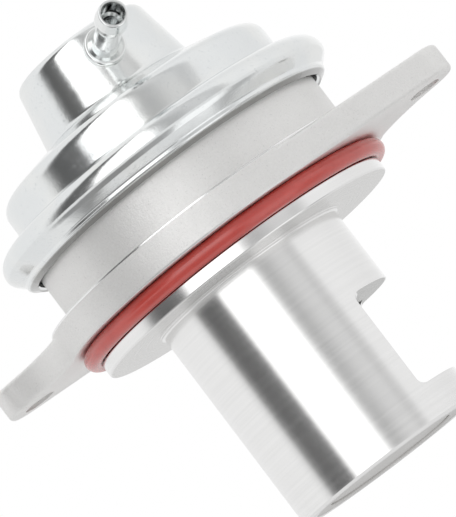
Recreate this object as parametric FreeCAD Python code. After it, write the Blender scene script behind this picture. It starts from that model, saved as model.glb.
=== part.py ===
import FreeCAD, Part
import math
import os

# Vacuum-operated exhaust gas recirculation valve.
# Frame: origin on the valve axis in the mounting face (underside of the flange),
# +Z along the axis towards the vacuum can, +X through the two bolt holes. Millimetres.

# ---- driving dimensions ----------------------------------------------------
BOLT_SPACING = 96.8          # between the two ear holes
BOLT_HOLE_R = 3.3
EAR_TIP_R = 6.6
EAR_T = 5.9                  # ear thickness
EAR_NECK_R = 24.0            # concave neck between ear tip and flange
FLANGE_R = 37.0
FLANGE_T = 6.4
RING_R = 32.1                # cast ring
RING_WALL_IN_R = 28.4
FLOOR_Z = 2.0                # underside of the casting's inner floor
FLOOR_T = 4.6
CRIMP_R = 35.25              # flange on top of the ring that the can grips
CRIMP_Z0 = 17.4
CRIMP_Z1 = 18.6
RING_TOP_Z = 21.4
VENT_R = 1.6
VENT_Z = 12.0

ORING_SECTION = 3.53
ORING_INNER_R = 31.55
GROOVE_R = 31.5
DISC_R = 32.45
DISC_TOP_Z = -3.55
DISC_BOT_Z = -6.15
SPIGOT_R = 29.5
HEAD_TOP_Z = 1.5
TUBE_R = 20.15
TUBE_BORE_R = 16.2
TUBE_END_Z = -50.4
TUBE_CEILING_Z = -9.0
UPPER_BORE_R = 12.4           # above the window the tube's wall is thick
BOSS_R = 7.6
BOSS_Z = -16.0
BUSH_R = 5.0
STEM_R = 3.0
STEM_CLEAR = 0.04
SEAL_POCKET_R = 6.6
SEAL_POCKET_Z = -2.0
SEAT_R = 17.3
SEAT_BORE_R = 14.0
SEAT_TOP_Z = -46.4
SCREW_PCD_R = 21.0
SCREW_COUNT = 4
SCREW_R = 2.0
SCREW_HEAD_R = 3.9

WINDOW_OFFSET = 12.9         # axis to the flat of the side window
WINDOW_AZ = 15.2             # window direction, degrees from +X towards +Y
WINDOW_Z0 = -43.6
WINDOW_Z1 = -22.35
WINDOW_CORNER_R = 1.5

SHEET = 0.9                  # can wall
CAP_TOP_Z = 48.3
CAP_TOP_R = 14.15
CAP_FOOT_R = 16.6
CAP_FOOT_Z = 34.65
DOME_R = 30.25
DOME_SHOULDER_Z = 31.05
RIM_TOP_Z = 23.8
RIM_EDGE_Z = 23.4
RIM_R = 37.3
RIM_KNEE_Z = 19.4            # the side turns inwards here
BEAD_R = 35.1                # small upright land above the lip
BEAD_Z1 = 17.2
BEAD_Z0 = 16.35
LIP_R = 33.45
LIP_Z = 15.4

NIPPLE_AZ = 31.5             # degrees from -Y towards +X
NIPPLE_Z = 42.6
NIPPLE_TILT = 4.0            # rises a little away from the cap
NIPPLE_LEN = 17.4
NIPPLE_NECK_R = 2.55
NIPPLE_BARB_R = 3.15
NIPPLE_MOUTH_R = 2.8
NIPPLE_BORE_R = 2.05
NIPPLE_INNER_R = 1.5
COLLAR_R = 4.0

LIFT = 7.0                   # valve stroke
PLATE_R = 21.0
PLATE_T = 1.1
DIAPH_T = 1.0
LOWER_PLATE_Z = 21.1
SPRING_R = 11.3              # mean coil radius
WIRE_R = 1.0
SPRING_TURNS = 5.5

os.makedirs("parts", exist_ok=True)
V = FreeCAD.Vector
ZAX = V(0, 0, 1)


# ---- helpers ---------------------------------------------------------------
def fillet_path(pts):
    """Closed planar profile in (r, z) from (r, z[, corner radius]) points."""
    n = len(pts)
    segs = []
    for i in range(n):
        r, z = pts[i][0], pts[i][1]
        f = pts[i][2] if len(pts[i]) > 2 else 0.0
        p = V(r, 0, z)
        a = V(pts[i - 1][0], 0, pts[i - 1][1])
        b = V(pts[(i + 1) % n][0], 0, pts[(i + 1) % n][1])
        if f <= 0:
            segs.append((p, None, p))
            continue
        u = (a - p).normalize()
        w = (b - p).normalize()
        ang = math.acos(max(-1.0, min(1.0, u.dot(w))))
        d = f / math.tan(ang / 2)
        t0 = p + u * d
        t1 = p + w * d
        bis = (u + w).normalize()
        c = p + bis * (f / math.sin(ang / 2))
        m = c - bis * f
        segs.append((t0, m, t1))
    edges = []
    for i in range(n):
        t0, m, t1 = segs[i]
        p, nx = V(pts[i][0], 0, pts[i][1]), segs[(i + 1) % n][0]
        q = V(pts[(i + 1) % n][0], 0, pts[(i + 1) % n][1])
        assert (nx - t1).dot(q - p) > -1e-6, ("corner radii overlap", pts[i], pts[(i + 1) % n])
        if m is not None:
            edges.append(Part.Arc(t0, m, t1).toShape())
        nxt = segs[(i + 1) % n][0]
        if (nxt - t1).Length > 1e-6:
            edges.append(Part.makeLine(t1, nxt))
    return Part.Face(Part.Wire(Part.__sortEdges__(edges)))


def rev(pts):
    s = fillet_path(pts).revolve(V(0, 0, 0), ZAX, 360)
    return s if isinstance(s, Part.Solid) else Part.Solid(s.Shells[0]) if s.ShapeType != "Solid" else s


def cyl(r, z0, z1, x=0.0, y=0.0):
    return Part.makeCylinder(r, z1 - z0, V(x, y, z0), ZAX)


def tube(r0, r1, z0, z1):
    return cyl(r1, z0, z1).cut(cyl(r0, z0 - 1, z1 + 1))


def save(name, shape):
    shape = shape.removeSplitter() if len(shape.Solids) == 1 else shape
    if len(shape.Solids) == 1:
        shape = shape.Solids[0]
    else:
        shape = Part.makeCompound(shape.Solids)
    assert shape.isValid(), name
    shape.exportStep("parts/" + name + ".step")
    b = shape.BoundBox
    print("%-24s solids %d  vol %9.1f  x %.2f..%.2f y %.2f..%.2f z %.2f..%.2f" % (
        name, len(shape.Solids), shape.Volume, b.XMin, b.XMax, b.YMin, b.YMax, b.ZMin, b.ZMax))
    return shape


# ---- valve body: casting with ring, flange and two ears --------------------
def ear_outline(sign):
    """One ear: straight tangent on one side, concave neck on the other."""
    L = BOLT_SPACING / 2
    th = math.acos((FLANGE_R - EAR_TIP_R) / L)
    # straight side (-Y on the +X ear)
    a0 = V(FLANGE_R * math.cos(th), -FLANGE_R * math.sin(th), 0)
    a1 = V(L + EAR_TIP_R * math.cos(th), -EAR_TIP_R * math.sin(th), 0)
    # concave side (+Y on the +X ear): one arc tangent to the tip and to the flange
    d1 = FLANGE_R + EAR_NECK_R
    d2 = EAR_TIP_R + EAR_NECK_R
    cx = (d1 ** 2 - d2 ** 2 + L ** 2) / (2 * L)
    cy = math.sqrt(d1 ** 2 - cx ** 2)
    al = math.atan2(cy, cx - L)
    b1 = V(L + EAR_TIP_R * math.cos(al), EAR_TIP_R * math.sin(al), 0)
    b0 = V(cx * FLANGE_R / d1, cy * FLANGE_R / d1, 0)
    bm = V(cx, cy, 0) + ((b0 + b1) * 0.5 - V(cx, cy, 0)).normalize() * EAR_NECK_R
    am = (al - th) / 2
    e = [Part.makeLine(V(0, 0, 0), a0), Part.makeLine(a0, a1),
         Part.Arc(a1, V(L + EAR_TIP_R * math.cos(am), EAR_TIP_R * math.sin(am), 0), b1).toShape(),
         Part.Arc(b1, bm, b0).toShape(), Part.makeLine(b0, V(0, 0, 0))]
    f = Part.Face(Part.Wire(e))
    s = f.extrude(V(0, 0, EAR_T))
    if sign < 0:
        s.rotate(V(0, 0, 0), ZAX, 180)
    return s


def rounded_ears():
    out = []
    for sg in (1, -1):
        s = ear_outline(sg)
        keep = []
        for e in s.Edges:
            b = e.BoundBox
            if b.ZMax - b.ZMin > 0.01:
                continue
            mid = e.valueAt((e.FirstParameter + e.LastParameter) / 2)
            if math.hypot(mid.x, mid.y) > FLANGE_R - 0.5 or (e.BoundBox.XMax * sg > 44 or e.BoundBox.XMin * sg > 44 or abs(e.BoundBox.XMax) > 44 or abs(e.BoundBox.XMin) > 44):
                keep.append(e)
        s = s.makeFillet(0.9, keep)
        out.append(s)
    return out


body = rev([
    (11.0, FLOOR_Z), (SPIGOT_R, FLOOR_Z), (SPIGOT_R, 0.0), (FLANGE_R, 0.0, 0.5),
    (FLANGE_R, FLANGE_T, 0.12), (RING_R, FLANGE_T, 0.7), (RING_R, CRIMP_Z0, 0.5),
    (CRIMP_R, CRIMP_Z1), (CRIMP_R, RING_TOP_Z), (RING_WALL_IN_R, RING_TOP_Z, 0.6),
    (RING_WALL_IN_R, FLOOR_Z + FLOOR_T, 1.5), (11.0, FLOOR_Z + FLOOR_T)])
for ear in rounded_ears():
    body = body.fuse(ear.cut(cyl(FLANGE_R - 2.0, -1, 12)))
for sg in (1, -1):
    body = body.cut(cyl(BOLT_HOLE_R, -1, 12, sg * BOLT_SPACING / 2, 0))
# vent holes at the back let the air side of the diaphragm breathe
for az in (70, 110):
    d = V(math.cos(math.radians(az)), math.sin(math.radians(az)), 0)
    body = body.cut(Part.makeCylinder(VENT_R, 12, d * (RING_WALL_IN_R - 3) + V(0, 0, VENT_Z), d))
screw_xy = []
for i in range(SCREW_COUNT):
    a = math.radians(45 + 90 * i)
    screw_xy.append((SCREW_PCD_R * math.cos(a), SCREW_PCD_R * math.sin(a)))
floor_top = FLOOR_Z + FLOOR_T
for x, y in screw_xy:
    body = body.cut(cyl(SCREW_R + 0.25, 0, floor_top + 1, x, y))
    body = body.cut(Part.makeCone(SCREW_R + 0.25, SCREW_HEAD_R + 0.15, SCREW_HEAD_R - SCREW_R - 0.1, V(x, y, floor_top - (SCREW_HEAD_R - SCREW_R - 0.1)), ZAX))
body = save("valve_body", body)

# ---- barrel: spigot disc, tube with side window, guide boss ----------------
barrel = rev([
    (BUSH_R, BOSS_Z), (BOSS_R, BOSS_Z, 0.5), (BOSS_R, TUBE_CEILING_Z, 1.5), (UPPER_BORE_R, TUBE_CEILING_Z, 1.5),
    (UPPER_BORE_R, WINDOW_Z1), (TUBE_BORE_R, WINDOW_Z1), (TUBE_BORE_R, SEAT_TOP_Z), (SEAT_R, SEAT_TOP_Z), (SEAT_R, TUBE_END_Z), (TUBE_R, TUBE_END_Z, 0.45),
    (TUBE_R, DISC_BOT_Z - 0.35, 0.3), (TUBE_R + 0.55, DISC_BOT_Z - 0.35), (TUBE_R + 0.55, DISC_BOT_Z, 0.2),
    (DISC_R, DISC_BOT_Z, 0.3), (DISC_R, DISC_TOP_Z, 0.2), (GROOVE_R, DISC_TOP_Z, 0.3), (GROOVE_R, 0.0),
    (SPIGOT_R, 0.0), (SPIGOT_R, HEAD_TOP_Z), (SEAL_POCKET_R, HEAD_TOP_Z), (SEAL_POCKET_R, SEAL_POCKET_Z), (BUSH_R, SEAL_POCKET_Z)])
wy = 30.0
win = Part.makeBox(20, 2 * wy, WINDOW_Z1 - WINDOW_Z0, V(WINDOW_OFFSET, -wy, WINDOW_Z0))
win = win.makeFillet(WINDOW_CORNER_R, [e for e in win.Edges
                                       if abs(e.BoundBox.XMin - WINDOW_OFFSET) < 1e-3 and abs(e.BoundBox.XMax - WINDOW_OFFSET) < 1e-3
                                       and e.BoundBox.YLength > 2 * wy - 1])
win.rotate(V(0, 0, 0), ZAX, WINDOW_AZ)
barrel = barrel.cut(win)
for x, y in screw_xy:
    barrel = barrel.cut(cyl(SCREW_R, -4.6, HEAD_TOP_Z + 1, x, y))
barrel = save("barrel", barrel)

# ---- gasket and the screws that hold the barrel ----------------------------
gasket = tube(11.0, SPIGOT_R - 0.3, HEAD_TOP_Z, FLOOR_Z)
for x, y in screw_xy:
    gasket = gasket.cut(cyl(SCREW_R + 0.4, 0, 4, x, y))
save("barrel_gasket", gasket)

screws = []
for x, y in screw_xy:
    hh = SCREW_HEAD_R - SCREW_R
    s = cyl(SCREW_R, -4.2, floor_top - hh + 0.01, x, y)
    s = s.fuse(Part.makeCone(SCREW_R, SCREW_HEAD_R, hh, V(x, y, floor_top - hh - 0.05), ZAX))
    hexa = Part.makePolygon([V(x + 1.45 * math.cos(math.radians(60 * k)), y + 1.45 * math.sin(math.radians(60 * k)), floor_top - 1.5) for k in range(7)])
    s = s.cut(Part.Face(hexa).extrude(V(0, 0, 3)))
    screws.append(s.removeSplitter().Solids[0])
save("barrel_screws", Part.makeCompound(screws))

# ---- stem guide group in the barrel head -----------------------------------
save("stem_guide_bush", rev([(STEM_R + STEM_CLEAR, BOSS_Z), (BUSH_R, BOSS_Z), (BUSH_R, SEAL_POCKET_Z), (STEM_R + STEM_CLEAR, SEAL_POCKET_Z)]))
save("stem_seal", rev([(STEM_R + 0.08, SEAL_POCKET_Z), (SEAL_POCKET_R - 0.1, SEAL_POCKET_Z), (SEAL_POCKET_R - 0.1, 0.4), (STEM_R + 1.4, 0.4), (STEM_R + 0.08, -0.6)]))
save("seal_retainer", rev([(STEM_R + 0.9, 0.4), (SEAL_POCKET_R, 0.4), (SEAL_POCKET_R, 1.3), (STEM_R + 0.9, 1.3)]))
save("deposit_shield", rev([(STEM_R + 0.5, -18.4), (BOSS_R + 0.8, -18.4, 0.8), (BOSS_R + 0.8, -11.5), (BOSS_R, -11.5), (BOSS_R, -17.6, 0.3), (STEM_R + 0.5, -17.6)]))

# ---- valve seat, poppet and stem -------------------------------------------
save("valve_seat", rev([
    (SEAT_BORE_R, TUBE_END_Z + 0.1, 0.25), (SEAT_R, TUBE_END_Z + 0.1), (SEAT_R, SEAT_TOP_Z), (15.9, SEAT_TOP_Z),
    (15.9, SEAT_TOP_Z - 0.4), (SEAT_BORE_R, SEAT_TOP_Z - 2.3)]))
POP_BOT = TUBE_END_Z + 0.4
save("poppet_head", rev([
    (STEM_R - 0.5, POP_BOT), (SEAT_BORE_R - 0.25, POP_BOT, 0.4), (SEAT_BORE_R - 0.25, SEAT_TOP_Z - 2.3 + 0.1),
    (15.6, SEAT_TOP_Z - 0.35), (15.6, SEAT_TOP_Z + 0.7, 0.3), (6.5, SEAT_TOP_Z + 2.2, 4.0), (4.6, SEAT_TOP_Z + 5.4), (STEM_R, SEAT_TOP_Z + 5.4),
    (STEM_R, POP_BOT + 2.6), (STEM_R - 0.5, POP_BOT + 2.6)]))
plate_top = LOWER_PLATE_Z + PLATE_T + DIAPH_T + PLATE_T
save("valve_stem", rev([
    (0, POP_BOT), (STEM_R - 0.5, POP_BOT), (STEM_R - 0.5, POP_BOT + 2.6), (STEM_R, POP_BOT + 2.6),
    (STEM_R, 17.6), (STEM_R + 1.4, 17.6, 0.2), (STEM_R + 1.4, LOWER_PLATE_Z), (2.4, LOWER_PLATE_Z),
    (2.4, plate_top + 1.2), (4.0, plate_top + 1.2, 0.15), (4.0, plate_top + 2.2, 0.7), (0, plate_top + 2.7)]))

# ---- diaphragm group -------------------------------------------------------
save("diaphragm_lower_plate", rev([
    (2.4, LOWER_PLATE_Z), (PLATE_R - 1.2, LOWER_PLATE_Z, 0.9), (PLATE_R + 0.3, LOWER_PLATE_Z - 1.2),
    (PLATE_R + 1.1, LOWER_PLATE_Z - 0.5), (PLATE_R - 0.9, LOWER_PLATE_Z + PLATE_T, 1.4), (2.4, LOWER_PLATE_Z + PLATE_T)]))
DZ = LOWER_PLATE_Z + PLATE_T


def diaphragm():
    rc = 25.1
    zc = 24.0
    ro, ri = 3.1, 2.1
    pts_out = [V(rc - ro, 0, zc), V(rc, 0, zc + ro), V(rc + ro, 0, zc)]
    pts_in = [V(rc + ri, 0, zc), V(rc, 0, zc + ri), V(rc - ri, 0, zc)]
    bead_z0, bead_z1, bead_r = RING_TOP_Z, RIM_EDGE_Z - SHEET, RIM_R - SHEET - 2.9
    d0, d1 = DZ + 0.03, DZ + DIAPH_T - 0.03
    e = [Part.makeLine(V(2.7, 0, d0), V(2.7, 0, d1)),
         Part.makeLine(V(2.7, 0, d1), V(rc - ro, 0, d1)),
         Part.makeLine(V(rc - ro, 0, d1), pts_out[0]),
         Part.Arc(*pts_out).toShape(),
         Part.makeLine(pts_out[2], V(rc + ro, 0, bead_z1)),
         Part.makeLine(V(rc + ro, 0, bead_z1), V(bead_r, 0, bead_z1)),
         Part.makeLine(V(bead_r, 0, bead_z1), V(bead_r, 0, bead_z0)),
         Part.makeLine(V(bead_r, 0, bead_z0), V(rc + ri, 0, bead_z0)),
         Part.makeLine(V(rc + ri, 0, bead_z0), pts_in[0]),
         Part.Arc(*pts_in).toShape(),
         Part.makeLine(pts_in[2], V(rc - ri, 0, d0)),
         Part.makeLine(V(rc - ri, 0, d0), V(2.7, 0, d0))]
    return Part.Face(Part.Wire(e)).revolve(V(0, 0, 0), ZAX, 360)


save("diaphragm", diaphragm())
uz = DZ + DIAPH_T
save("diaphragm_upper_plate", rev([
    (2.4, uz), (PLATE_R - 1.0, uz, 0.5), (PLATE_R - 1.0, uz + PLATE_T, 0.4), (SPRING_R + WIRE_R + 1.3, uz + PLATE_T, 0.3),
    (SPRING_R + WIRE_R + 0.9, uz + PLATE_T + 0.6, 0.2), (SPRING_R + WIRE_R + 0.3, uz + PLATE_T + 0.6, 0.2), (SPRING_R + WIRE_R + 0.2, uz + PLATE_T, 0.1), (2.4, uz + PLATE_T)]))
save("stem_rivet_washer", rev([(2.4, plate_top), (6.5, plate_top, 0.3), (6.5, plate_top + 1.2, 0.3), (2.4, plate_top + 1.2)]))

# ---- spring between the plate and the cap ----------------------------------
locator_z = CAP_TOP_Z - SHEET
save("spring_locator_cup", rev([
    (4.0, locator_z - 0.8), (4.0, locator_z), (SPRING_R + WIRE_R, locator_z, 0.5), (SPRING_R + WIRE_R, locator_z - 0.8), (SPRING_R - WIRE_R - 0.75, locator_z - 0.8, 0.3),
    (SPRING_R - WIRE_R - 0.75, locator_z - 3.4), (SPRING_R - WIRE_R - 1.45, locator_z - 3.4), (SPRING_R - WIRE_R - 1.45, locator_z - 0.8)]))
sp_z0 = plate_top + WIRE_R + 0.15
sp_z1 = locator_z - 0.8 - WIRE_R - 0.15
helix = Part.makeLongHelix((sp_z1 - sp_z0) / SPRING_TURNS, sp_z1 - sp_z0, SPRING_R)
helix.translate(V(0, 0, sp_z0))
first = helix.Edges[0]
section = Part.Wire(Part.makeCircle(WIRE_R, first.valueAt(first.FirstParameter), first.tangentAt(first.FirstParameter)))
spring = Part.Wire(helix.Edges).makePipeShell([section], True, True)
if spring.ShapeType != "Solid":
    spring = Part.Solid(spring)
save("return_spring", spring)

# ---- vacuum can ------------------------------------------------------------
can_outer = [
    (0, CAP_TOP_Z), (CAP_TOP_R, CAP_TOP_Z, 2.0), (CAP_FOOT_R, CAP_FOOT_Z, 1.3), (DOME_R, DOME_SHOULDER_Z, 2.8),
    (DOME_R, RIM_TOP_Z, 0.9), (RIM_R, RIM_EDGE_Z, 3.3), (RIM_R, RIM_KNEE_Z, 2.1), (BEAD_R, BEAD_Z1, 0.5),
    (BEAD_R - 0.05, BEAD_Z0, 0.5), (LIP_R, LIP_Z)]
can_inner = [
    (LIP_R - 0.6, LIP_Z + 0.6), (BEAD_R - 1.0, BEAD_Z0 + 0.3), (BEAD_R - 0.8, BEAD_Z1 + 0.35), (RIM_R - SHEET, RIM_KNEE_Z + 0.35, 1.4),
    (RIM_R - SHEET, RIM_EDGE_Z - SHEET, 2.2), (DOME_R - SHEET, RIM_TOP_Z - SHEET, 1.7), (DOME_R - SHEET, DOME_SHOULDER_Z - 0.7, 1.9),
    (CAP_FOOT_R - SHEET - 0.1, CAP_FOOT_Z - 0.75, 2.0), (CAP_TOP_R - SHEET, CAP_TOP_Z - SHEET, 1.1), (0, CAP_TOP_Z - SHEET)]
can = rev(can_outer + can_inner)
filled = rev(can_outer[:4] + [(DOME_R, 28.0), (0, 28.0)])

# nipple axis
b = math.radians(NIPPLE_AZ)
t = math.radians(NIPPLE_TILT)
ndir = V(math.sin(b) * math.cos(t), -math.cos(b) * math.cos(t), math.sin(t))
r_wall = CAP_FOOT_R + (CAP_TOP_R - CAP_FOOT_R) * (NIPPLE_Z - CAP_FOOT_Z) / (CAP_TOP_Z - CAP_FOOT_Z)
nbase = V(math.sin(b) * r_wall, -math.cos(b) * r_wall, NIPPLE_Z)


def along(shape):
    """Place a shape built along +Z from the origin on the nipple's axis."""
    rot = FreeCAD.Rotation(ZAX, ndir)
    shape.Placement = FreeCAD.Placement(nbase, rot)
    return shape


can = can.cut(along(cyl(NIPPLE_NECK_R, -6, 4)))
save("vacuum_can", can)

nipple = rev([
    (NIPPLE_INNER_R, -2.0), (NIPPLE_NECK_R, -2.0, 0.2), (NIPPLE_NECK_R, 11.0, 1.2), (NIPPLE_BARB_R, 13.1, 0.3), (NIPPLE_BARB_R, 14.3, 0.4),
    (NIPPLE_MOUTH_R, NIPPLE_LEN, 0.35), (NIPPLE_BORE_R + 0.25, NIPPLE_LEN), (NIPPLE_BORE_R, NIPPLE_LEN - 0.4),
    (NIPPLE_BORE_R, 12.8), (NIPPLE_INNER_R, 12.3)])
save("hose_nipple", along(nipple))
collar = rev([(NIPPLE_NECK_R, -2.5), (COLLAR_R, -2.5), (COLLAR_R, 1.25, 0.5), (NIPPLE_NECK_R + 0.8, 1.25, 0.1), (NIPPLE_NECK_R, 0.9)])
collar = along(collar).cut(filled)
save("nipple_braze_ring", collar)

# ---- O-ring ----------------------------------------------------------------
ring = Part.makeTorus(ORING_INNER_R + ORING_SECTION / 2, ORING_SECTION / 2, V(0, 0, -ORING_SECTION / 2 - 0.01), ZAX)
save("o_ring", ring)
print("nipple base", nbase, "dir", ndir)
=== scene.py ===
import bpy
import math
import numpy as np
from mathutils import Vector, Matrix


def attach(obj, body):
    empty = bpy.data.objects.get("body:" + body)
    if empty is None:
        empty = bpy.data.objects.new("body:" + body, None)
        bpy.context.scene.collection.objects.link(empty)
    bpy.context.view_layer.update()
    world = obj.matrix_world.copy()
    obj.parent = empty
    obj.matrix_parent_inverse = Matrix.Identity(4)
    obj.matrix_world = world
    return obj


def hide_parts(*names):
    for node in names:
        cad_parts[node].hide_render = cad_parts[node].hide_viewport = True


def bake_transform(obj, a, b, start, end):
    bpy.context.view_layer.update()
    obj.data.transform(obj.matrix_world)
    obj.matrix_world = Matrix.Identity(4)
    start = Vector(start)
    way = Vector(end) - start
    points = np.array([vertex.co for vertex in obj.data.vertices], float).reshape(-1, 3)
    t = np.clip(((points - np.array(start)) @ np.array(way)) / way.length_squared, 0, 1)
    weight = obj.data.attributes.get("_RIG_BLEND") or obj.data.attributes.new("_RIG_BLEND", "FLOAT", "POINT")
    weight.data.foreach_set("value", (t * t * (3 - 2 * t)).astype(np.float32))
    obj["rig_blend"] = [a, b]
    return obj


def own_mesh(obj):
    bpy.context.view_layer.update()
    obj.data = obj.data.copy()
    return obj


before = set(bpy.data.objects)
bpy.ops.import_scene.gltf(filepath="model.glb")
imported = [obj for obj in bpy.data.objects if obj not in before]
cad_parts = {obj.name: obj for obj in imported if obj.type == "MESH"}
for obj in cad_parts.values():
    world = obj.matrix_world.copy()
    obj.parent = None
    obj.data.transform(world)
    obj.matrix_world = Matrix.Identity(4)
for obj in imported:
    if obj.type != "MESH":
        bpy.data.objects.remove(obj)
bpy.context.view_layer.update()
MM = 0.001

# ============================================================================
# camera: long lens, from the front, a little below the mounting plane, rolled
# ============================================================================
AZ = math.radians(15.2)
EL = math.radians(-6.59)
ROLL = math.radians(52.73)
DIST = 0.850
back = Vector((math.sin(AZ) * math.cos(EL), -math.cos(AZ) * math.cos(EL), math.sin(EL)))
right0 = Vector((math.cos(AZ), math.sin(AZ), 0.0))
up0 = back.cross(right0)
cam_x = math.sin(ROLL) * right0 - math.cos(ROLL) * up0
cam_y = math.cos(ROLL) * right0 + math.sin(ROLL) * up0
cam_data = bpy.data.cameras.new("camera")
cam = bpy.data.objects.new("camera", cam_data)
bpy.context.scene.collection.objects.link(cam)
m = Matrix.Identity(4)
for i in range(3):
    m[i][0], m[i][1], m[i][2], m[i][3] = cam_x[i], cam_y[i], back[i], back[i] * DIST
cam.matrix_world = m
cam_data.sensor_fit = 'AUTO'
cam_data.sensor_width = 36.0
cam_data.lens = 4505.0 * 36.0 / 517.0
cam_data.shift_x = -1.3 / 517.0
cam_data.shift_y = -10.2 / 517.0
cam_data.clip_start = 0.05
cam_data.clip_end = 50.0
bpy.context.scene.camera = cam
bpy.context.scene.view_settings.view_transform = 'Standard'
bpy.context.scene.view_settings.look = 'None'


# ============================================================================
# shader helpers
# ============================================================================
class Graph:
    """Small wrapper that builds a node tree from expressions."""

    def __init__(self, tree):
        self.t = tree
        self.n = tree.nodes
        self.k = tree.links

    def node(self, kind, props=None, **inputs):
        n = self.n.new(kind)
        for a, v in (props or {}).items():
            setattr(n, a, v)
        for name, v in inputs.items():
            self.put(n, name.replace("_", " "), v)
        return n

    def put(self, n, name, v):
        sock = n.inputs[name] if not isinstance(name, int) else n.inputs[name]
        if isinstance(v, bpy.types.NodeSocket):
            self.k.new(v, sock)
        else:
            sock.default_value = v

    def math(self, op, a, b=None, c=None, clamp=False):
        n = self.n.new("ShaderNodeMath")
        n.operation = op
        n.use_clamp = clamp
        for i, v in enumerate((a, b, c)):
            if v is not None:
                self.put(n, i, v)
        return n.outputs[0]

    def smooth(self, x, lo, hi, a=0.0, b=1.0):
        n = self.n.new("ShaderNodeMapRange")
        n.interpolation_type = 'SMOOTHSTEP'
        self.put(n, "Value", x)
        n.inputs["From Min"].default_value = lo
        n.inputs["From Max"].default_value = hi
        n.inputs["To Min"].default_value = a
        n.inputs["To Max"].default_value = b
        return n.outputs["Result"]

    def band(self, x, lo, hi, soft):
        """1 between lo and hi, with soft edges."""
        return self.math('MULTIPLY', self.smooth(x, lo - soft, lo + soft), self.smooth(x, hi - soft, hi + soft, 1.0, 0.0))

    def mix(self, f, a, b):
        n = self.n.new("ShaderNodeMix")
        n.data_type = 'RGBA'
        self.put(n, 0, f)
        self.put(n, 6, a)
        self.put(n, 7, b)
        return n.outputs[2]

    def noise(self, vec, scale, detail=3.0, rough=0.5, distortion=0.0, out="Fac"):
        n = self.n.new("ShaderNodeTexNoise")
        self.put(n, "Vector", vec)
        n.inputs["Scale"].default_value = scale
        n.inputs["Detail"].default_value = detail
        n.inputs["Roughness"].default_value = rough
        n.inputs["Distortion"].default_value = distortion
        return n.outputs[0] if out == "Fac" else n.outputs[1]

    def ramp(self, x, stops, mode='LINEAR'):
        n = self.n.new("ShaderNodeValToRGB")
        n.color_ramp.interpolation = mode
        e = n.color_ramp.elements
        while len(e) > 1:
            e.remove(e[-1])
        for i, (p, c) in enumerate(stops):
            if i == 0:
                e[0].position = p
                s = e[0]
            else:
                s = e.new(p)
            s.color = (c, c, c, 1.0) if isinstance(c, (int, float)) else (c[0], c[1], c[2], 1.0)
        self.put(n, "Fac", x)
        return n.outputs[0]

    def bump(self, height, strength, dist, normal=None):
        n = self.n.new("ShaderNodeBump")
        n.inputs["Strength"].default_value = strength
        n.inputs["Distance"].default_value = dist
        self.put(n, "Height", height)
        if normal is not None:
            self.put(n, "Normal", normal)
        return n.outputs[0]


def rgb(r, g, b):
    return (r, g, b, 1.0)


def new_material(name):
    mat = bpy.data.materials.new(name)
    mat.use_nodes = True
    mat.node_tree.nodes.clear()
    g = Graph(mat.node_tree)
    out = g.node("ShaderNodeOutputMaterial")
    bsdf = g.node("ShaderNodeBsdfPrincipled")
    g.k.new(bsdf.outputs[0], out.inputs[0])
    tc = g.node("ShaderNodeTexCoord")
    g.obj = tc.outputs["Object"]
    sep = g.node("ShaderNodeSeparateXYZ")
    g.k.new(g.obj, sep.inputs[0])
    g.x, g.y, g.z = sep.outputs
    g.r = g.math('SQRT', g.math('ADD', g.math('MULTIPLY', g.x, g.x), g.math('MULTIPLY', g.y, g.y)))
    g.b = bsdf
    return mat, g


# ============================================================================
# materials
# ============================================================================
def zinc_sheet():
    """Bright zinc plate over pressed steel: mirror-like, faintly green, with drawn-sheet ripple and fine speckle, and
    painted shade under the rolled lip.
    """
    mat, g = new_material("zinc_sheet")
    soft = g.noise(g.obj, 90.0, 2.0, 0.5)
    mid = g.noise(g.obj, 420.0, 3.0, 0.55)
    fine = g.noise(g.obj, 2600.0, 4.0, 0.62)
    spots = g.smooth(g.noise(g.obj, 1500.0, 2.0, 0.6), 0.60, 0.72)
    col = g.mix(g.smooth(soft, 0.35, 0.7), rgb(0.845, 0.865, 0.870), rgb(0.890, 0.90, 0.890))
    col = g.mix(g.math('MULTIPLY', spots, 0.30), col, rgb(0.66, 0.69, 0.71))
    # painted shade: the underside of the rolled lip (below z 16.1 mm, beyond r 33.2 mm) is coloured dark grey to stand
    # in for the shade there
    lip_painted_shade = g.math('MULTIPLY', g.smooth(g.z, 0.01625, 0.01600), g.smooth(g.r, 0.0331, 0.0333))
    col = g.mix(lip_painted_shade, col, rgb(0.40, 0.40, 0.395))
    g.put(g.b, "Base Color", col)
    g.b.inputs["Metallic"].default_value = 1.0
    r = g.math('ADD', g.smooth(mid, 0.3, 0.75, 0.10, 0.17), g.math('MULTIPLY', spots, 0.10))
    g.put(g.b, "Roughness", r)
    n = g.bump(soft, 0.5, 0.00030)
    n = g.bump(mid, 0.35, 0.00006, n)
    n = g.bump(fine, 0.5, 0.000016, n)
    g.put(g.b, "Normal", n)
    return mat


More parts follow.
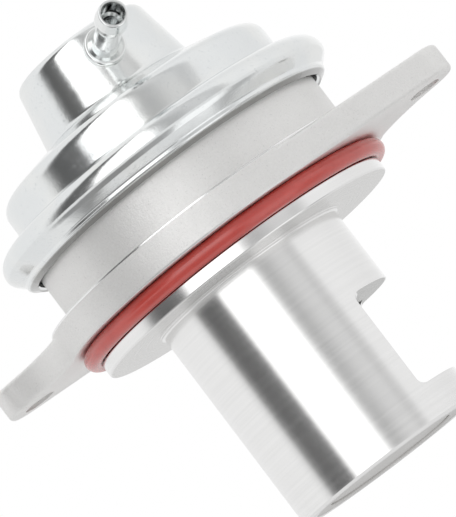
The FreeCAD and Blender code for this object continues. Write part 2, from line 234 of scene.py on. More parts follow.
def cast_aluminium():
    """Bead-blasted die casting: even light grey with a fine grain."""
    mat, g = new_material("cast_aluminium")
    big = g.noise(g.obj, 60.0, 3.0, 0.55)
    grain = g.noise(g.obj, 2300.0, 3.0, 0.65)
    pits = g.smooth(g.noise(g.obj, 3600.0, 2.0, 0.5), 0.62, 0.74)
    col = g.mix(g.smooth(big, 0.3, 0.7), rgb(0.83, 0.825, 0.815), rgb(0.88, 0.875, 0.865))
    col = g.mix(g.smooth(grain, 0.35, 0.75, 0.0, 0.45), col, rgb(0.93, 0.925, 0.915))
    col = g.mix(g.math('MULTIPLY', pits, 0.45), col, rgb(0.58, 0.575, 0.57))
    # the flange's upper corner is machined bright
    cut = g.math('MULTIPLY', g.band(g.z, 0.00604, 0.0066, 0.00003), g.band(g.r, 0.03670, 0.03715, 0.00003))
    col = g.mix(cut, col, rgb(0.90, 0.90, 0.90))
    g.put(g.b, "Base Color", col)
    g.put(g.b, "Metallic", g.math('MAXIMUM', 0.78, cut))
    g.put(g.b, "Roughness", g.math('ADD', g.math('MULTIPLY', g.smooth(grain, 0.3, 0.8, 0.52, 0.42), g.math('SUBTRACT', 1.0, cut)), g.math('MULTIPLY', cut, 0.13)))
    n = g.bump(big, 0.4, 0.00025)
    n = g.bump(g.math('MULTIPLY', grain, g.math('SUBTRACT', 1.0, cut)), 0.9, 0.00006, n)
    g.put(g.b, "Normal", n)
    return mat


def turned_aluminium():
    """Machined aluminium: fine tool marks round the axis, flat faces with rings, and painted shade on two downward
    faces.
    """
    mat, g = new_material("turned_aluminium")
    comb = g.node("ShaderNodeCombineXYZ")
    g.put(comb, 0, g.math('MULTIPLY', g.r, 1.0))
    g.put(comb, 1, 0.0)
    g.put(comb, 2, g.z)
    lines = g.noise(comb.outputs[0], 5200.0, 3.0, 0.7)
    wide = g.noise(comb.outputs[0], 1500.0, 3.0, 0.6)
    grain = g.noise(g.obj, 2600.0, 3.0, 0.6)
    big = g.noise(g.obj, 70.0, 2.0, 0.5)
    col = g.mix(g.smooth(wide, 0.3, 0.7), rgb(0.875, 0.872, 0.868), rgb(0.915, 0.912, 0.908))
    # painted shade: the downward face at the window's top (z -22.35 mm) is coloured dark grey for the shade there; the
    # same mask also makes that face rougher
    ledge_painted_shade = g.math('MULTIPLY', g.band(g.z, -0.02250, -0.02228, 0.00002), g.band(g.r, 0.0127, 0.0199, 0.0001))
    col = g.mix(ledge_painted_shade, col, rgb(0.50, 0.50, 0.49))
    # painted shade: the disc's downward underside (z -6.15 mm) is coloured darker for the shade and dim reflection
    # there; the same mask also makes that face rougher
    under_painted_shade = g.math('MULTIPLY', g.band(g.z, -0.00620, -0.00610, 0.00002), g.band(g.r, 0.0208, 0.0322, 0.0001))
    col = g.mix(under_painted_shade, col, rgb(0.73, 0.725, 0.715))
    g.put(g.b, "Base Color", col)
    g.b.inputs["Metallic"].default_value = 1.0
    rough = g.smooth(g.math('ADD', g.math('MULTIPLY', grain, 0.6), g.math('MULTIPLY', wide, 0.4)), 0.3, 0.75, 0.13, 0.19)
    g.put(g.b, "Roughness", g.math('ADD', rough, g.math('MULTIPLY', g.math('ADD', ledge_painted_shade, under_painted_shade), 0.12)))
    n = g.bump(big, 0.25, 0.00006)
    n = g.bump(lines, 0.30, 0.000009, n)
    n = g.bump(grain, 0.2, 0.000006, n)
    g.put(g.b, "Normal", n)
    return mat


def red_silicone():
    """Dark red silicone rubber with a satin skin and a little dust."""
    mat, g = new_material("red_silicone")
    big = g.noise(g.obj, 160.0, 3.0, 0.5)
    fine = g.noise(g.obj, 2600.0, 3.0, 0.6)
    col = g.mix(g.smooth(big, 0.3, 0.7), rgb(0.58, 0.058, 0.045), rgb(0.64, 0.078, 0.062))
    col = g.mix(g.smooth(fine, 0.60, 0.80, 0.0, 0.18), col, rgb(0.60, 0.15, 0.12))
    g.put(g.b, "Base Color", col)
    g.put(g.b, "Roughness", g.smooth(fine, 0.3, 0.7, 0.16, 0.24))
    g.b.inputs["Specular IOR Level"].default_value = 1.0
    n = g.bump(fine, 0.2, 0.000006)
    g.put(g.b, "Normal", n)
    return mat


def machined_steel(name, base, alt, rough=(0.22, 0.34), lines=4200.0, bump=0.00002):
    """Turned or pressed metal with fine marks round the axis."""
    mat, g = new_material(name)
    comb = g.node("ShaderNodeCombineXYZ")
    g.put(comb, 0, g.r)
    g.put(comb, 2, g.z)
    marks = g.noise(comb.outputs[0], lines, 3.0, 0.6)
    big = g.noise(g.obj, 150.0, 3.0, 0.55)
    grain = g.noise(g.obj, 2400.0, 3.0, 0.6)
    col = g.mix(g.smooth(big, 0.3, 0.7), base, alt)
    g.put(g.b, "Base Color", col)
    g.b.inputs["Metallic"].default_value = 1.0
    g.put(g.b, "Roughness", g.smooth(grain, 0.3, 0.7, rough[0], rough[1]))
    n = g.bump(marks, 0.4, bump)
    n = g.bump(grain, 0.3, 0.00001, n)
    g.put(g.b, "Normal", n)
    return mat


def rubber(name, base, alt, rough=(0.5, 0.65)):
    mat, g = new_material(name)
    big = g.noise(g.obj, 200.0, 3.0, 0.5)
    fine = g.noise(g.obj, 1800.0, 4.0, 0.6)
    g.put(g.b, "Base Color", g.mix(g.smooth(big, 0.3, 0.7), base, alt))
    g.put(g.b, "Roughness", g.smooth(fine, 0.3, 0.7, rough[0], rough[1]))
    g.put(g.b, "Normal", g.bump(fine, 0.4, 0.00004))
    return mat


MATS = {
    "zinc_steel": zinc_sheet(),
    "cast_aluminium": cast_aluminium(),
    "turned_aluminium": turned_aluminium(),
    "red_silicone": red_silicone(),
    "stainless": machined_steel("stainless", rgb(0.60, 0.59, 0.575), rgb(0.68, 0.67, 0.655)),
    "plain_steel": machined_steel("plain_steel", rgb(0.50, 0.50, 0.49), rgb(0.60, 0.59, 0.58)),
    "plate_steel": machined_steel("plate_steel", rgb(0.62, 0.60, 0.52), rgb(0.70, 0.68, 0.60), (0.25, 0.4)),
    "spring_steel": machined_steel("spring_steel", rgb(0.42, 0.42, 0.43), rgb(0.54, 0.54, 0.55), (0.25, 0.35)),
    "bronze": machined_steel("bronze", rgb(0.62, 0.42, 0.22), rgb(0.70, 0.50, 0.28), (0.3, 0.42)),
    "graphite": rubber("graphite", rgb(0.045, 0.045, 0.047), rgb(0.075, 0.075, 0.078), (0.4, 0.55)),
    "gasket": rubber("gasket", rgb(0.10, 0.10, 0.095), rgb(0.16, 0.155, 0.15), (0.7, 0.85)),
    "black_rubber": rubber("black_rubber", rgb(0.018, 0.018, 0.019), rgb(0.035, 0.035, 0.036)),
}
MATS["zinc_nipple"] = MATS["zinc_steel"]


# ============================================================================
# mesh helpers (profiles in millimetres)
# ============================================================================
def round_profile(pts, step=5.0):
    """Closed (r, z[, corner radius]) profile -> segments (p0, p1, n0, n1) with true normals, and its turning sense."""
    n = len(pts)
    area = sum(pts[i][0] * pts[(i + 1) % n][1] - pts[(i + 1) % n][0] * pts[i][1] for i in range(n))
    sg = 1.0 if area > 0 else -1.0
    corners = []
    for i in range(n):
        p = np.array(pts[i][:2], float)
        f = pts[i][2] if len(pts[i]) > 2 else 0.0
        a = np.array(pts[i - 1][:2], float)
        b = np.array(pts[(i + 1) % n][:2], float)
        u = (a - p) / np.linalg.norm(a - p)
        w = (b - p) / np.linalg.norm(b - p)
        nin = sg * np.array([-u[1], u[0]])
        if f <= 0:
            corners.append(([p], None))
            continue
        ang = math.acos(max(-1.0, min(1.0, float(u @ w))))
        d = f / math.tan(ang / 2)
        t0, t1 = p + u * d, p + w * d
        bis = (u + w) / np.linalg.norm(u + w)
        c = p + bis * (f / math.sin(ang / 2))
        a0 = math.atan2(*(t0 - c)[::-1])
        a1 = math.atan2(*(t1 - c)[::-1])
        da = (a1 - a0 + math.pi) % (2 * math.pi) - math.pi
        k = max(2, int(math.ceil(abs(math.degrees(da)) / step)))
        arc = [c + f * np.array([math.cos(a0 + da * q / k), math.sin(a0 + da * q / k)]) for q in range(k + 1)]
        s = 1.0 if float((t0 - c) @ nin) > 0 else -1.0
        nor = [s * (q - c) / f for q in arc]
        corners.append((arc, nor))
    segs = []
    for i in range(n):
        arc, nor = corners[i]
        for q in range(len(arc) - 1):
            segs.append((arc[q], arc[q + 1], nor[q], nor[q + 1]))
        a, b = arc[-1], corners[(i + 1) % n][0][0]
        if np.linalg.norm(b - a) > 1e-6:
            d = (b - a) / np.linalg.norm(b - a)
            nn = sg * np.array([d[1], -d[0]])
            segs.append((a, b, nn, nn))
    return segs, sg


def split_long(segs, limit):
    out = []
    for a, b, na, nb in segs:
        k = max(1, int(math.ceil(np.linalg.norm(b - a) / limit)))
        for q in range(k):
            t0, t1 = q / k, (q + 1) / k
            out.append((a + (b - a) * t0, a + (b - a) * t1, na + (nb - na) * t0, na + (nb - na) * t1))
    return out


def link(name, me):
    ob = bpy.data.objects.new(name, me)
    bpy.context.scene.collection.objects.link(ob)
    return ob


def set_normals(me, nor):
    me.polygons.foreach_set("use_smooth", [True] * len(me.polygons))
    me.normals_split_custom_set([tuple(v) for v in nor])
    me.update()


def lathe(name, pts, seg=256, limit=None, place=None):
    """Body of revolution with the profile's own normals."""
    segs, sg = round_profile(pts)
    if limit:
        segs = split_long(segs, limit)
    n = len(segs)
    verts, ring = [], []
    ca = [math.cos(2 * math.pi * j / seg) for j in range(seg)]
    sa = [math.sin(2 * math.pi * j / seg) for j in range(seg)]
    for p0, p1, n0, n1 in segs:
        r, z = float(p0[0]), float(p0[1])
        if r < 1e-6:
            ring.append((len(verts), True))
            verts.append((0.0, 0.0, z * MM))
        else:
            ring.append((len(verts), False))
            verts.extend((r * MM * ca[j], r * MM * sa[j], z * MM) for j in range(seg))
    faces, nor = [], []

    def vid(i, j):
        s, single = ring[i % n]
        return s if single else s + j % seg

    for i in range(n):
        p0, p1, n0, n1 = segs[i]
        s0, s1 = ring[i][1], ring[(i + 1) % n][1]
        if s0 and s1:
            continue
        for j in range(seg):
            c = [(i, j, n0), (i, j + 1, n0), (i + 1, j + 1, n1), (i + 1, j, n1)]
            if s0:
                c = [c[0], c[2], c[3]]
            elif s1:
                c = [c[0], c[1], c[2]]
            if sg < 0:
                c = c[::-1]
            faces.append([vid(a, b) for a, b, _ in c])
            for a, b, q in c:
                jj = b % seg
                nor.append((float(q[0]) * ca[jj], float(q[0]) * sa[jj], float(q[1])))
    me = bpy.data.meshes.new(name)
    me.from_pydata(verts, [], faces)
    me.update()
    if place is not None:
        me.transform(place)
        rot = np.array(place.to_3x3())
        nor = (rot @ np.array(nor).T).T
    set_normals(me, nor)
    ob = link(name, me)
    SEGS[name] = segs
    return ob


SEGS = {}


def boolean(ob, other, op='DIFFERENCE'):
    md = ob.modifiers.new("b", 'BOOLEAN')
    md.object = other
    md.operation = op
    md.solver = 'EXACT'
    bpy.context.view_layer.update()
    dg = bpy.context.evaluated_depsgraph_get()
    me = bpy.data.meshes.new_from_object(ob.evaluated_get(dg))
    ob.modifiers.clear()
    ob.data = me
    me.name = ob.name
    bpy.data.objects.remove(other)
    return ob


def turned_normals(ob, segs, tol=0.03, angle=28.0):
    """After a boolean: faces that lie on the turned profile get its true normals, the rest are smoothed by angle."""
    me = ob.data
    try:
        me.attributes.remove(me.attributes["custom_normal"])
    except KeyError:
        pass
    me.polygons.foreach_set("use_smooth", [True] * len(me.polygons))
    me.set_sharp_from_angle(angle=math.radians(angle))
    nl, npoly = len(me.loops), len(me.polygons)
    base = np.empty(nl * 3)
    me.corner_normals.foreach_get("vector", base)
    base = base.reshape(-1, 3)
    co = np.empty(len(me.vertices) * 3)
    me.vertices.foreach_get("co", co)
    co = co.reshape(-1, 3) / MM
    cen = np.empty(npoly * 3)
    me.polygons.foreach_get("center", cen)
    cen = cen.reshape(-1, 3) / MM
    fn = np.empty(npoly * 3)
    me.polygons.foreach_get("normal", fn)
    fn = fn.reshape(-1, 3)
    lv = np.empty(nl, int)
    me.loops.foreach_get("vertex_index", lv)
    ls = np.empty(npoly, int)
    me.polygons.foreach_get("loop_start", ls)
    lt = np.empty(npoly, int)
    me.polygons.foreach_get("loop_total", lt)
    lp = np.repeat(np.arange(npoly), lt)
    A = np.array([s[0] for s in segs])
    B = np.array([s[1] for s in segs])
    NA = np.array([s[2] for s in segs])
    NB = np.array([s[3] for s in segs])
    D = B - A
    L2 = np.maximum((D ** 2).sum(1), 1e-12)
    rc = np.hypot(cen[:, 0], cen[:, 1])
    q = np.stack([rc, cen[:, 2]], 1)
    nr = (fn[:, 0] * cen[:, 0] + fn[:, 1] * cen[:, 1]) / np.maximum(rc, 1e-6)
    fq = np.stack([nr, fn[:, 2]], 1)
    best = np.full(npoly, -1)
    bd = np.full(npoly, 1e9)
    for s in range(len(segs)):
        t = np.clip(((q - A[s]) @ D[s]) / L2[s], 0, 1)
        dd = np.linalg.norm(q - A[s] - t[:, None] * D[s], axis=1)
        mid = NA[s] + NB[s]
        mid = mid / np.linalg.norm(mid)
        ok = (fq @ mid > 0.97) & (dd < tol) & (dd < bd)
        best[ok] = s
        bd[ok] = dd[ok]
    out = base.copy()
    sel = best[lp] >= 0
    s = best[lp][sel]
    v = co[lv[sel]]
    rr = np.hypot(v[:, 0], v[:, 1])
    pq = np.stack([rr, v[:, 2]], 1)
    t = np.clip(((pq - A[s]) * D[s]).sum(1) / L2[s], 0, 1)[:, None]
    nn = NA[s] * (1 - t) + NB[s] * t
    nn /= np.linalg.norm(nn, axis=1)[:, None]
    c, si = v[:, 0] / np.maximum(rr, 1e-9), v[:, 1] / np.maximum(rr, 1e-9)
    out[sel] = np.stack([nn[:, 0] * c, nn[:, 0] * si, nn[:, 1]], 1)
    set_normals(me, out)


def cylinder(name, r, z0, z1, x=0.0, y=0.0, seg=96):
    """Plain cutter."""
    ob = lathe(name, [(0, z0), (r, z0), (r, z1), (0, z1)], seg=seg, place=Matrix.Translation((x * MM, y * MM, 0)))
    return ob


def finish_piece(ob, node, body, slot):
    ob.data.materials.clear()
    ob.data.materials.append(MATS[slot])
    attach(ob, body)
    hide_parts(*([node] if isinstance(node, str) else node))
    return ob


# ============================================================================
# dimensions shared with the frame (millimetres)
# ============================================================================
FLANGE_R, FLANGE_T = 37.0, 6.4
RING_R, RING_IN, RING_TOP = 32.1, 28.4, 21.4
CRIMP_R, CRIMP_Z0, CRIMP_Z1 = 35.25, 17.4, 18.6
FLOOR_Z, FLOOR_TOP = 2.0, 6.6
TUBE_R, TUBE_END = 20.15, -50.4
SCREWS = [(21.0 * math.cos(math.radians(45 + 90 * i)), 21.0 * math.sin(math.radians(45 + 90 * i))) for i in range(4)]

# ---- cast body --------------------------------------------------------------
body_pts = [
    (11.0, FLOOR_Z), (29.5, FLOOR_Z), (29.5, 0.0), (FLANGE_R, 0.0, 0.5), (FLANGE_R, FLANGE_T, 0.12),
    (RING_R, FLANGE_T, 0.7), (RING_R, CRIMP_Z0, 0.5), (CRIMP_R, CRIMP_Z1), (CRIMP_R, RING_TOP),
    (RING_IN, RING_TOP, 0.6), (RING_IN, FLOOR_TOP, 1.5), (11.0, FLOOR_TOP)]
body = lathe("cast_body", body_pts, seg=288)


def ear_mesh(name, turn):
    """Ear with one straight and one concave side, edges rounded."""
    L, TR, NR, ER, T = 96.8 / 2, 6.6, 24.0, 0.9, 5.9
    th = math.acos((FLANGE_R - TR) / L)
    path = []      # (x, y, nx, ny)
    a0 = (FLANGE_R * math.cos(th), -FLANGE_R * math.sin(th))
    a1 = (L + TR * math.cos(th), -TR * math.sin(th))
    for q in range(13):
        t = q / 12
        path.append((a0[0] + (a1[0] - a0[0]) * t, a0[1] + (a1[1] - a0[1]) * t, math.cos(th), -math.sin(th)))
    # tip arc, then one concave arc tangent to the tip and to the flange
    d1, d2 = FLANGE_R + NR, TR + NR
    cx = (d1 ** 2 - d2 ** 2 + L ** 2) / (2 * L)
    cy = math.sqrt(d1 ** 2 - cx ** 2)
    al = math.atan2(cy, cx - L)
    k = 48
    for q in range(1, k + 1):
        a = -th + (al + th) * q / k
        path.append((L + TR * math.cos(a), TR * math.sin(a), math.cos(a), math.sin(a)))
    e0, e1 = al - math.pi, math.atan2(-cy, -cx)
    k = 32
    for q in range(1, k + 1):
        a = e0 + (e1 - e0) * q / k
        path.append((cx + NR * math.cos(a), cy + NR * math.sin(a), -math.cos(a), -math.sin(a)))
    layers = []
    for q in range(9):
        a = math.pi / 2 * q / 8
        layers.append((ER * (1 - math.sin(a)), ER * (1 - math.cos(a))))
    levels = [(o, z) for o, z in layers] + [(o, T - z) for o, z in reversed(layers)]
    inner = [(33.0 * math.cos(math.atan2(path[-1][1], path[-1][0])), 33.0 * math.sin(math.atan2(path[-1][1], path[-1][0]))),
             (33.0 * math.cos(-th), 33.0 * math.sin(-th))]
    verts = []
    n = len(path) + 2
    for o, z in levels:
        for x, y, nx, ny in path:
            verts.append(((x - nx * o) * MM, (y - ny * o) * MM, z * MM))
        for x, y in inner:
            verts.append((x * MM, y * MM, z * MM))
    faces = []
    for i in range(len(levels) - 1):
        for j in range(n):
            faces.append([i * n + j, i * n + (j + 1) % n, (i + 1) * n + (j + 1) % n, (i + 1) * n + j])
    faces.append([j for j in range(n)][::-1])
    faces.append([(len(levels) - 1) * n + j for j in range(n)])
    me = bpy.data.meshes.new(name)
    me.from_pydata(verts, [], faces)
    if turn:
        me.transform(Matrix.Rotation(math.pi, 4, 'Z'))
    me.update()
    return link(name, me)


for turn in (False, True):
    boolean(body, ear_mesh("ear", turn), 'UNION')
for sg in (1, -1):
    boolean(body, cylinder("hole", 3.3, -1, 12, sg * 48.4, 0))
for az in (70, 110):
    d = Vector((math.cos(math.radians(az)), math.sin(math.radians(az)), 0))
    mt = Matrix.Translation((d * 25.4 + Vector((0, 0, 12.0))) * MM) @ d.to_track_quat('Z', 'Y').to_matrix().to_4x4()
    boolean(body, lathe("vent", [(0, 0), (1.6, 0), (1.6, 12), (0, 12)], seg=48, place=mt))
for x, y in SCREWS:
    boolean(body, cylinder("bore", 2.25, 0, FLOOR_TOP + 1, x, y, 48))
    boolean(body, lathe("csk", [(0, FLOOR_TOP - 1.8), (2.25, FLOOR_TOP - 1.8), (4.05, FLOOR_TOP), (4.05, FLOOR_TOP + 1), (0, FLOOR_TOP + 1)], seg=48,
                        place=Matrix.Translation((x * MM, y * MM, 0))))
turned_normals(body, SEGS["cast_body"])
finish_piece(body, "valve_body", "housing", "cast_aluminium")

# ---- barrel -----------------------------------------------------------------
barrel_pts = [
    (5.0, -16.0), (7.6, -16.0, 0.5), (7.6, -9.0, 1.5), (12.4, -9.0, 1.5), (12.4, -22.35), (16.2, -22.35), (16.2, -46.4), (17.3, -46.4), (17.3, TUBE_END),
    (TUBE_R, TUBE_END, 0.45), (TUBE_R, -6.5, 0.3), (TUBE_R + 0.55, -6.5), (TUBE_R + 0.55, -6.15, 0.2), (32.45, -6.15, 0.3),
    (32.45, -3.55, 0.2), (31.5, -3.55, 0.3), (31.5, 0.0), (29.5, 0.0), (29.5, 1.5), (6.6, 1.5), (6.6, -2.0), (5.0, -2.0)]
barrel = lathe("turned_barrel", barrel_pts, seg=288)


def window_cutter():
    z0, z1, r, x0, x1, wy = -43.6, -22.35, 1.5, 12.9, 33.0, 30.0
    prof = [(x1, z0)]
    k = 12
    for q in range(k + 1):
        a = -math.pi / 2 - math.pi / 2 * q / k
        prof.append((x0 + r + r * math.cos(a), z0 + r + r * math.sin(a)))
    for q in range(k + 1):
        a = math.pi - math.pi / 2 * q / k
        prof.append((x0 + r + r * math.cos(a), z1 - r + r * math.sin(a)))
    prof.append((x1, z1))
    n = len(prof)
    verts = [(x * MM, -wy * MM, z * MM) for x, z in prof] + [(x * MM, wy * MM, z * MM) for x, z in prof]
    faces = [[i, (i + 1) % n, n + (i + 1) % n, n + i] for i in range(n)] + [list(range(n))[::-1], [n + i for i in range(n)]]
    me = bpy.data.meshes.new("window")
    me.from_pydata(verts, [], faces)
    import bmesh
    bm = bmesh.new()
    bm.from_mesh(me)
    bmesh.ops.recalc_face_normals(bm, faces=bm.faces)
    bm.to_mesh(me)
    bm.free()
    me.transform(Matrix.Rotation(math.radians(15.2), 4, 'Z'))
    return link("window", me)


boolean(barrel, window_cutter())
for x, y in SCREWS:
    boolean(barrel, cylinder("bore", 2.0, -4.6, 2.5, x, y, 48))
turned_normals(barrel, SEGS["turned_barrel"])
finish_piece(barrel, "barrel", "housing", "turned_aluminium")

# ---- seal ring --------------------------------------------------------------
ring_r, ring_c, ring_z = 3.53 / 2, 31.55 + 3.53 / 2, -3.53 / 2 - 0.01
ring_pts = [(ring_c + ring_r * math.cos(a), ring_z + ring_r * math.sin(a)) for a in [2 * math.pi * q / 48 for q in range(48)]]
seal = lathe("seal_ring", ring_pts, seg=256)
nr = []
for lp in seal.data.loops:
    v = seal.data.vertices[lp.vertex_index].co
    rr = math.hypot(v.x, v.y)
    c = Vector((v.x / rr * ring_c * MM, v.y / rr * ring_c * MM, ring_z * MM))
    nr.append((v - c).normalized())
set_normals(seal.data, nr)
finish_piece(seal, "o_ring", "housing", "red_silicone")

# ---- seat, poppet, stem -----------------------------------------------------
seat = lathe("seat_insert", [(14.0, -50.3, 0.25), (17.3, -50.3), (17.3, -46.4), (15.9, -46.4), (15.9, -46.8), (14.0, -48.7)], seg=192)
finish_piece(seat, "valve_seat", "housing", "stainless")
pop = lathe("poppet", [
    (2.5, -50.0), (13.75, -50.0, 0.4), (13.75, -48.6), (15.6, -46.75), (15.6, -45.7, 0.3), (6.5, -44.2, 4.0), (4.6, -41.0), (3.0, -41.0),
    (3.0, -47.4), (2.5, -47.4)], seg=192)
finish_piece(pop, "poppet_head", "valve", "stainless")
stem = lathe("stem", [
    (0, -50.0), (2.5, -50.0), (2.5, -47.4), (3.0, -47.4), (3.0, 17.6), (4.4, 17.6, 0.2), (4.4, 21.1), (2.4, 21.1),
    (2.4, 25.5), (4.0, 25.5, 0.15), (4.0, 26.5, 0.7), (0, 27.0)], seg=96)
finish_piece(stem, "valve_stem", "valve", "stainless")

# ---- vacuum can -------------------------------------------------------------
SHEET = 0.9
can_pts = [
    (0, 48.3), (14.15, 48.3, 2.0), (16.6, 34.65, 1.3), (30.25, 31.05, 2.8), (30.25, 23.8, 0.9), (37.3, 23.4, 3.3), (37.3, 19.4, 2.1),
    (35.1, 17.2, 0.5), (35.05, 16.35, 0.5), (33.45, 15.4),
    (32.85, 16.0), (34.1, 16.65), (34.3, 17.55), (36.4, 19.75, 1.4), (36.4, 22.5, 2.2), (29.35, 22.9, 1.7), (29.35, 30.35, 1.9),
    (15.6, 33.9, 2.0), (13.25, 47.4, 1.1), (0, 47.4)]
can = lathe("can_shell", can_pts, seg=360, limit=1.5)
finish_piece(can, "vacuum_can", "housing", "zinc_steel")

# ---- hose nipple and its collar ---------------------------------------------
b, t = math.radians(31.5), math.radians(4.0)
ndir = Vector((math.sin(b) * math.cos(t), -math.cos(b) * math.cos(t), math.sin(t)))
nbase = Vector((7.927911, -12.937175, 42.6))
nip_place = Matrix.Translation(nbase * MM) @ ndir.to_track_quat('Z', 'Y').to_matrix().to_4x4()
nipple = lathe("nipple", [
    (1.5, -2.0), (2.55, -2.0, 0.2), (2.55, 11.0, 1.2), (3.15, 13.1, 0.3), (3.15, 14.3, 0.4), (2.8, 17.4, 0.35), (2.3, 17.4), (2.05, 17.0),
    (2.05, 12.8), (1.5, 12.3)], seg=128, place=nip_place)
finish_piece(nipple, "hose_nipple", "housing", "zinc_nipple")
collar = lathe("nipple_collar", [(2.55, -2.5), (4.0, -2.5), (4.0, 1.25, 0.5), (3.35, 1.25, 0.1), (2.55, 0.9)], seg=128, place=nip_place)
solid = lathe("solid", can_pts[:4] + [(30.25, 28.0), (0, 28.0)], seg=180)
boolean(collar, solid)
collar.data.polygons.foreach_set("use_smooth", [True] * len(collar.data.polygons))
finish_piece(collar, "nipple_braze_ring", "housing", "zinc_nipple")

# ---- return spring ----------------------------------------------------------
z0, z1, turns = 25.45, 45.45, 5.5
rings, prof_n = int(turns * 48), 20
verts, faces = [], []
for i in range(rings + 1):
    f = i / rings
    a = 2 * math.pi * turns * f
    cr = 11.3 - 0.35 * f
    c = Vector((cr * math.cos(a), cr * math.sin(a), z0 + (z1 - z0) * f))
    tan = Vector((-cr * math.sin(a), cr * math.cos(a), (z1 - z0) / (2 * math.pi * turns))).normalized()
    e1 = Vector((math.cos(a), math.sin(a), 0))
    e2 = tan.cross(e1)
    for q in range(prof_n):
        g = 2 * math.pi * q / prof_n
        verts.append((c + e1 * math.cos(g) * 0.995 + e2 * math.sin(g) * 0.995) * MM)
for i in range(rings):
    for q in range(prof_n):
        faces.append([i * prof_n + q, (i + 1) * prof_n + q, (i + 1) * prof_n + (q + 1) % prof_n, i * prof_n + (q + 1) % prof_n])
faces.append(list(range(prof_n)))
faces.append([rings * prof_n + q for q in range(prof_n)][::-1])
me = bpy.data.meshes.new("coil")
me.from_pydata([tuple(v) for v in verts], [], faces)
me.update()
import bmesh
bm = bmesh.new()
bm.from_mesh(me)
bmesh.ops.recalc_face_normals(bm, faces=bm.faces)
bm.to_mesh(me)
bm.free()
me.polygons.foreach_set("use_smooth", [True] * len(me.polygons))
me.set_sharp_from_angle(angle=math.radians(50))
coil = link("coil_spring", me)
finish_piece(coil, "return_spring", "housing", "spring_steel")
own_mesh(coil)

# ---- diaphragm --------------------------------------------------------------
def diaphragm_points():
    rc, zc, ro, ri = 25.1, 24.0, 3.1, 2.1
    d0, d1 = 22.23, 23.17
    pts = [(2.7, d0), (2.7, d1), (rc - ro, d1)]
    pts += [(rc + ro * math.cos(a), zc + ro * math.sin(a)) for a in [math.pi - math.pi * q / 32 for q in range(33)]]
    pts += [(rc + ro, 22.5), (33.5, 22.5), (33.5, 21.4), (rc + ri, 21.4)]
    pts += [(rc + ri * math.cos(a), zc + ri * math.sin(a)) for a in [math.pi * q / 32 for q in range(33)]]
    pts += [(rc - ri, d0)]
    return pts


mem = lathe("rubber_diaphragm", diaphragm_points(), seg=192, limit=0.8)
md = mem.data
try:
    md.attributes.remove(md.attributes["custom_normal"])
except KeyError:
    pass
md.set_sharp_from_angle(angle=math.radians(35))
md.materials.append(MATS["black_rubber"])
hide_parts("diaphragm")
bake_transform(mem, "housing", "valve", start=(0.0282, 0, 0), end=(0.022, 0, 0))
# the fold works all round, so the share that follows the valve depends on the distance from the axis
share = []
for v in md.vertices:
    q = min(1.0, max(0.0, (28.2 - math.hypot(v.co.x, v.co.y) / MM) / (28.2 - 22.0)))
    share.append(q * q * (3 - 2 * q))
md.attributes["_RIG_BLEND"].data.foreach_set("value", share)

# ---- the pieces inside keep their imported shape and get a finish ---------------
INSIDE = {
    "barrel_gasket": "gasket", "barrel_screws": "plain_steel", "stem_guide_bush": "bronze", "stem_seal": "graphite",
    "seal_retainer": "plain_steel", "deposit_shield": "stainless", "diaphragm_lower_plate": "plate_steel",
    "diaphragm_upper_plate": "plate_steel", "stem_rivet_washer": "plain_steel", "spring_locator_cup": "plate_steel"}
for name, slot in INSIDE.items():
    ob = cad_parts[name]
    for i in range(max(1, len(ob.material_slots))):
        if len(ob.material_slots) <= i:
            ob.data.materials.append(MATS[slot])
        else:
            ob.material_slots[i].material = MATS[slot]

# ============================================================================
# light: a soft studio, pale all round with a broad bright panel and dark gaps
# ============================================================================
CAM_AZ = math.atan2(-math.cos(AZ), math.sin(AZ))
world = bpy.data.worlds.new("studio")
bpy.context.scene.world = world
world.use_nodes = True
world.node_tree.nodes.clear()
g = Graph(world.node_tree)
tc = g.node("ShaderNodeTexCoord")
sep = g.node("ShaderNodeSeparateXYZ")
g.k.new(tc.outputs["Generated"], sep.inputs[0])
ang = g.math('ARCTAN2', sep.outputs[1], sep.outputs[0])
u = g.math('FRACT', g.math('ADD', g.math('DIVIDE', g.math('SUBTRACT', ang, CAM_AZ), 2 * math.pi), 1.5))
BANDS = [       # degrees from the camera's side (negative: photo left), brightness
    (-180, 0.96), (-165, 0.88), (-150, 0.88), (-88, 0.90), (-80, 0.80), (-74, 0.26), (-66, 0.12), (-56, 0.13), (-48, 0.17), (-43, 0.22),
    (-38, 1.45), (4, 1.45), (8, 0.80), (13, 0.52), (19, 0.48), (26, 0.58), (34, 0.68), (44, 0.70), (50, 0.60), (56, 0.68), (62, 0.90), (80, 0.90),
    (120, 0.85), (140, 0.86), (155, 0.92), (168, 0.98), (180, 0.96)]
stops = [((d + 180) / 360.0, c) for d, c in BANDS]
col = g.ramp(u, stops)
below = g.smooth(sep.outputs[2], -0.02, -0.06)
col = g.mix(below, col, rgb(0.66, 0.66, 0.66))
bg = g.node("ShaderNodeBackground")
g.put(bg, "Color", col)
bg.inputs["Strength"].default_value = 1.0
plain = g.node("ShaderNodeBackground")
plain.inputs["Color"].default_value = (1, 1, 1, 1)
plain.inputs["Strength"].default_value = 1.0
lp = g.node("ShaderNodeLightPath")
mixs = g.node("ShaderNodeMixShader")
g.k.new(lp.outputs["Is Camera Ray"], mixs.inputs[0])
g.k.new(bg.outputs[0], mixs.inputs[1])
g.k.new(plain.outputs[0], mixs.inputs[2])
wo = g.node("ShaderNodeOutputWorld")
g.k.new(mixs.outputs[0], wo.inputs[0])

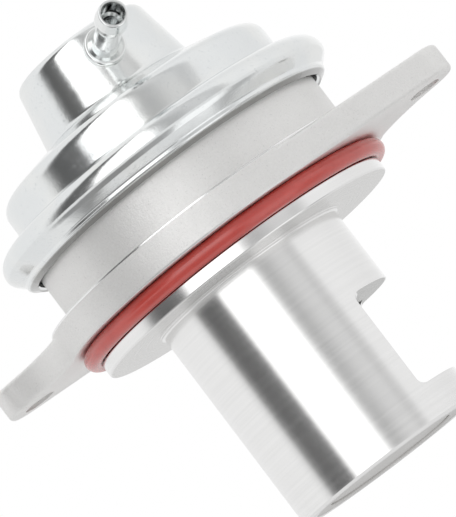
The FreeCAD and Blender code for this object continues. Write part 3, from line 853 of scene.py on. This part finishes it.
# ============================================================================
# floor: pale, and open from underneath because the camera looks up past it
# ============================================================================
fm = bpy.data.meshes.new("floor")
fv, ff = [], []
for q in range(64):
    a = 2 * math.pi * q / 64
    k = 3.0 / max(abs(math.cos(a)), abs(math.sin(a)))
    fv += [(0.0197 * math.cos(a), 0.0197 * math.sin(a), -0.0504), (k * math.cos(a), k * math.sin(a), -0.0504)]
for q in range(64):
    i, j = 2 * q, 2 * ((q + 1) % 64)
    ff.append([i, i + 1, j + 1, j])
fm.from_pydata(fv, [], ff)
floor = link("floor", fm)
fmat = bpy.data.materials.new("pale_floor")
fmat.use_nodes = True
fmat.node_tree.nodes.clear()
g = Graph(fmat.node_tree)
geo = g.node("ShaderNodeNewGeometry")
dif = g.node("ShaderNodeBsdfPrincipled")
dif.inputs["Base Color"].default_value = (0.83, 0.83, 0.825, 1)
dif.inputs["Roughness"].default_value = 0.8
# what polished metal sees of the floor is painted: for glossy rays the floor glows with a fixed brightness instead of
# being lit, bright near the object even where it is shaded, with a painted dark patch and a painted bright patch in
# front of the object
glossy = g.node("ShaderNodeLightPath").outputs["Is Glossy Ray"]
fsep = g.node("ShaderNodeSeparateXYZ")
g.k.new(geo.outputs["Position"], fsep.inputs[0])
fr = g.math('SQRT', g.math('ADD', g.math('MULTIPLY', fsep.outputs[0], fsep.outputs[0]), g.math('MULTIPLY', fsep.outputs[1], fsep.outputs[1])))
fa = g.math('FRACT', g.math('ADD', g.math('DIVIDE', g.math('SUBTRACT', g.math('ARCTAN2', fsep.outputs[1], fsep.outputs[0]), CAM_AZ), 2 * math.pi), 1.5))
PATCH = [(-180, 0.84), (-82, 0.84), (-66, 0.30), (-12, 0.28), (-4, 0.38), (12, 0.40), (20, 1.10), (46, 1.10), (58, 0.50), (68, 0.50), (80, 0.80), (180, 0.84)]
patch = g.ramp(fa, [((d + 180) / 360.0, c) for d, c in PATCH])
near = g.smooth(fr, 0.050, 0.056)
far = g.smooth(fr, 0.15, 0.26)
painted_floor_reflection = g.mix(near, rgb(0.80, 0.80, 0.80), g.mix(far, patch, rgb(0.84, 0.84, 0.84)))
# painted reflection: the floor glows with this colour for glossy rays, though it is no lamp
glow = g.node("ShaderNodeEmission")
g.put(glow, "Color", painted_floor_reflection)
tra = g.node("ShaderNodeBsdfTransparent")
top = g.node("ShaderNodeMixShader")
g.k.new(glossy, top.inputs[0])
g.k.new(dif.outputs[0], top.inputs[1])
g.k.new(glow.outputs[0], top.inputs[2])
mx = g.node("ShaderNodeMixShader")
g.k.new(geo.outputs["Backfacing"], mx.inputs[0])
g.k.new(top.outputs[0], mx.inputs[1])
g.k.new(tra.outputs[0], mx.inputs[2])
fo = g.node("ShaderNodeOutputMaterial")
g.k.new(mx.outputs[0], fo.inputs[0])
fm.materials.append(fmat)
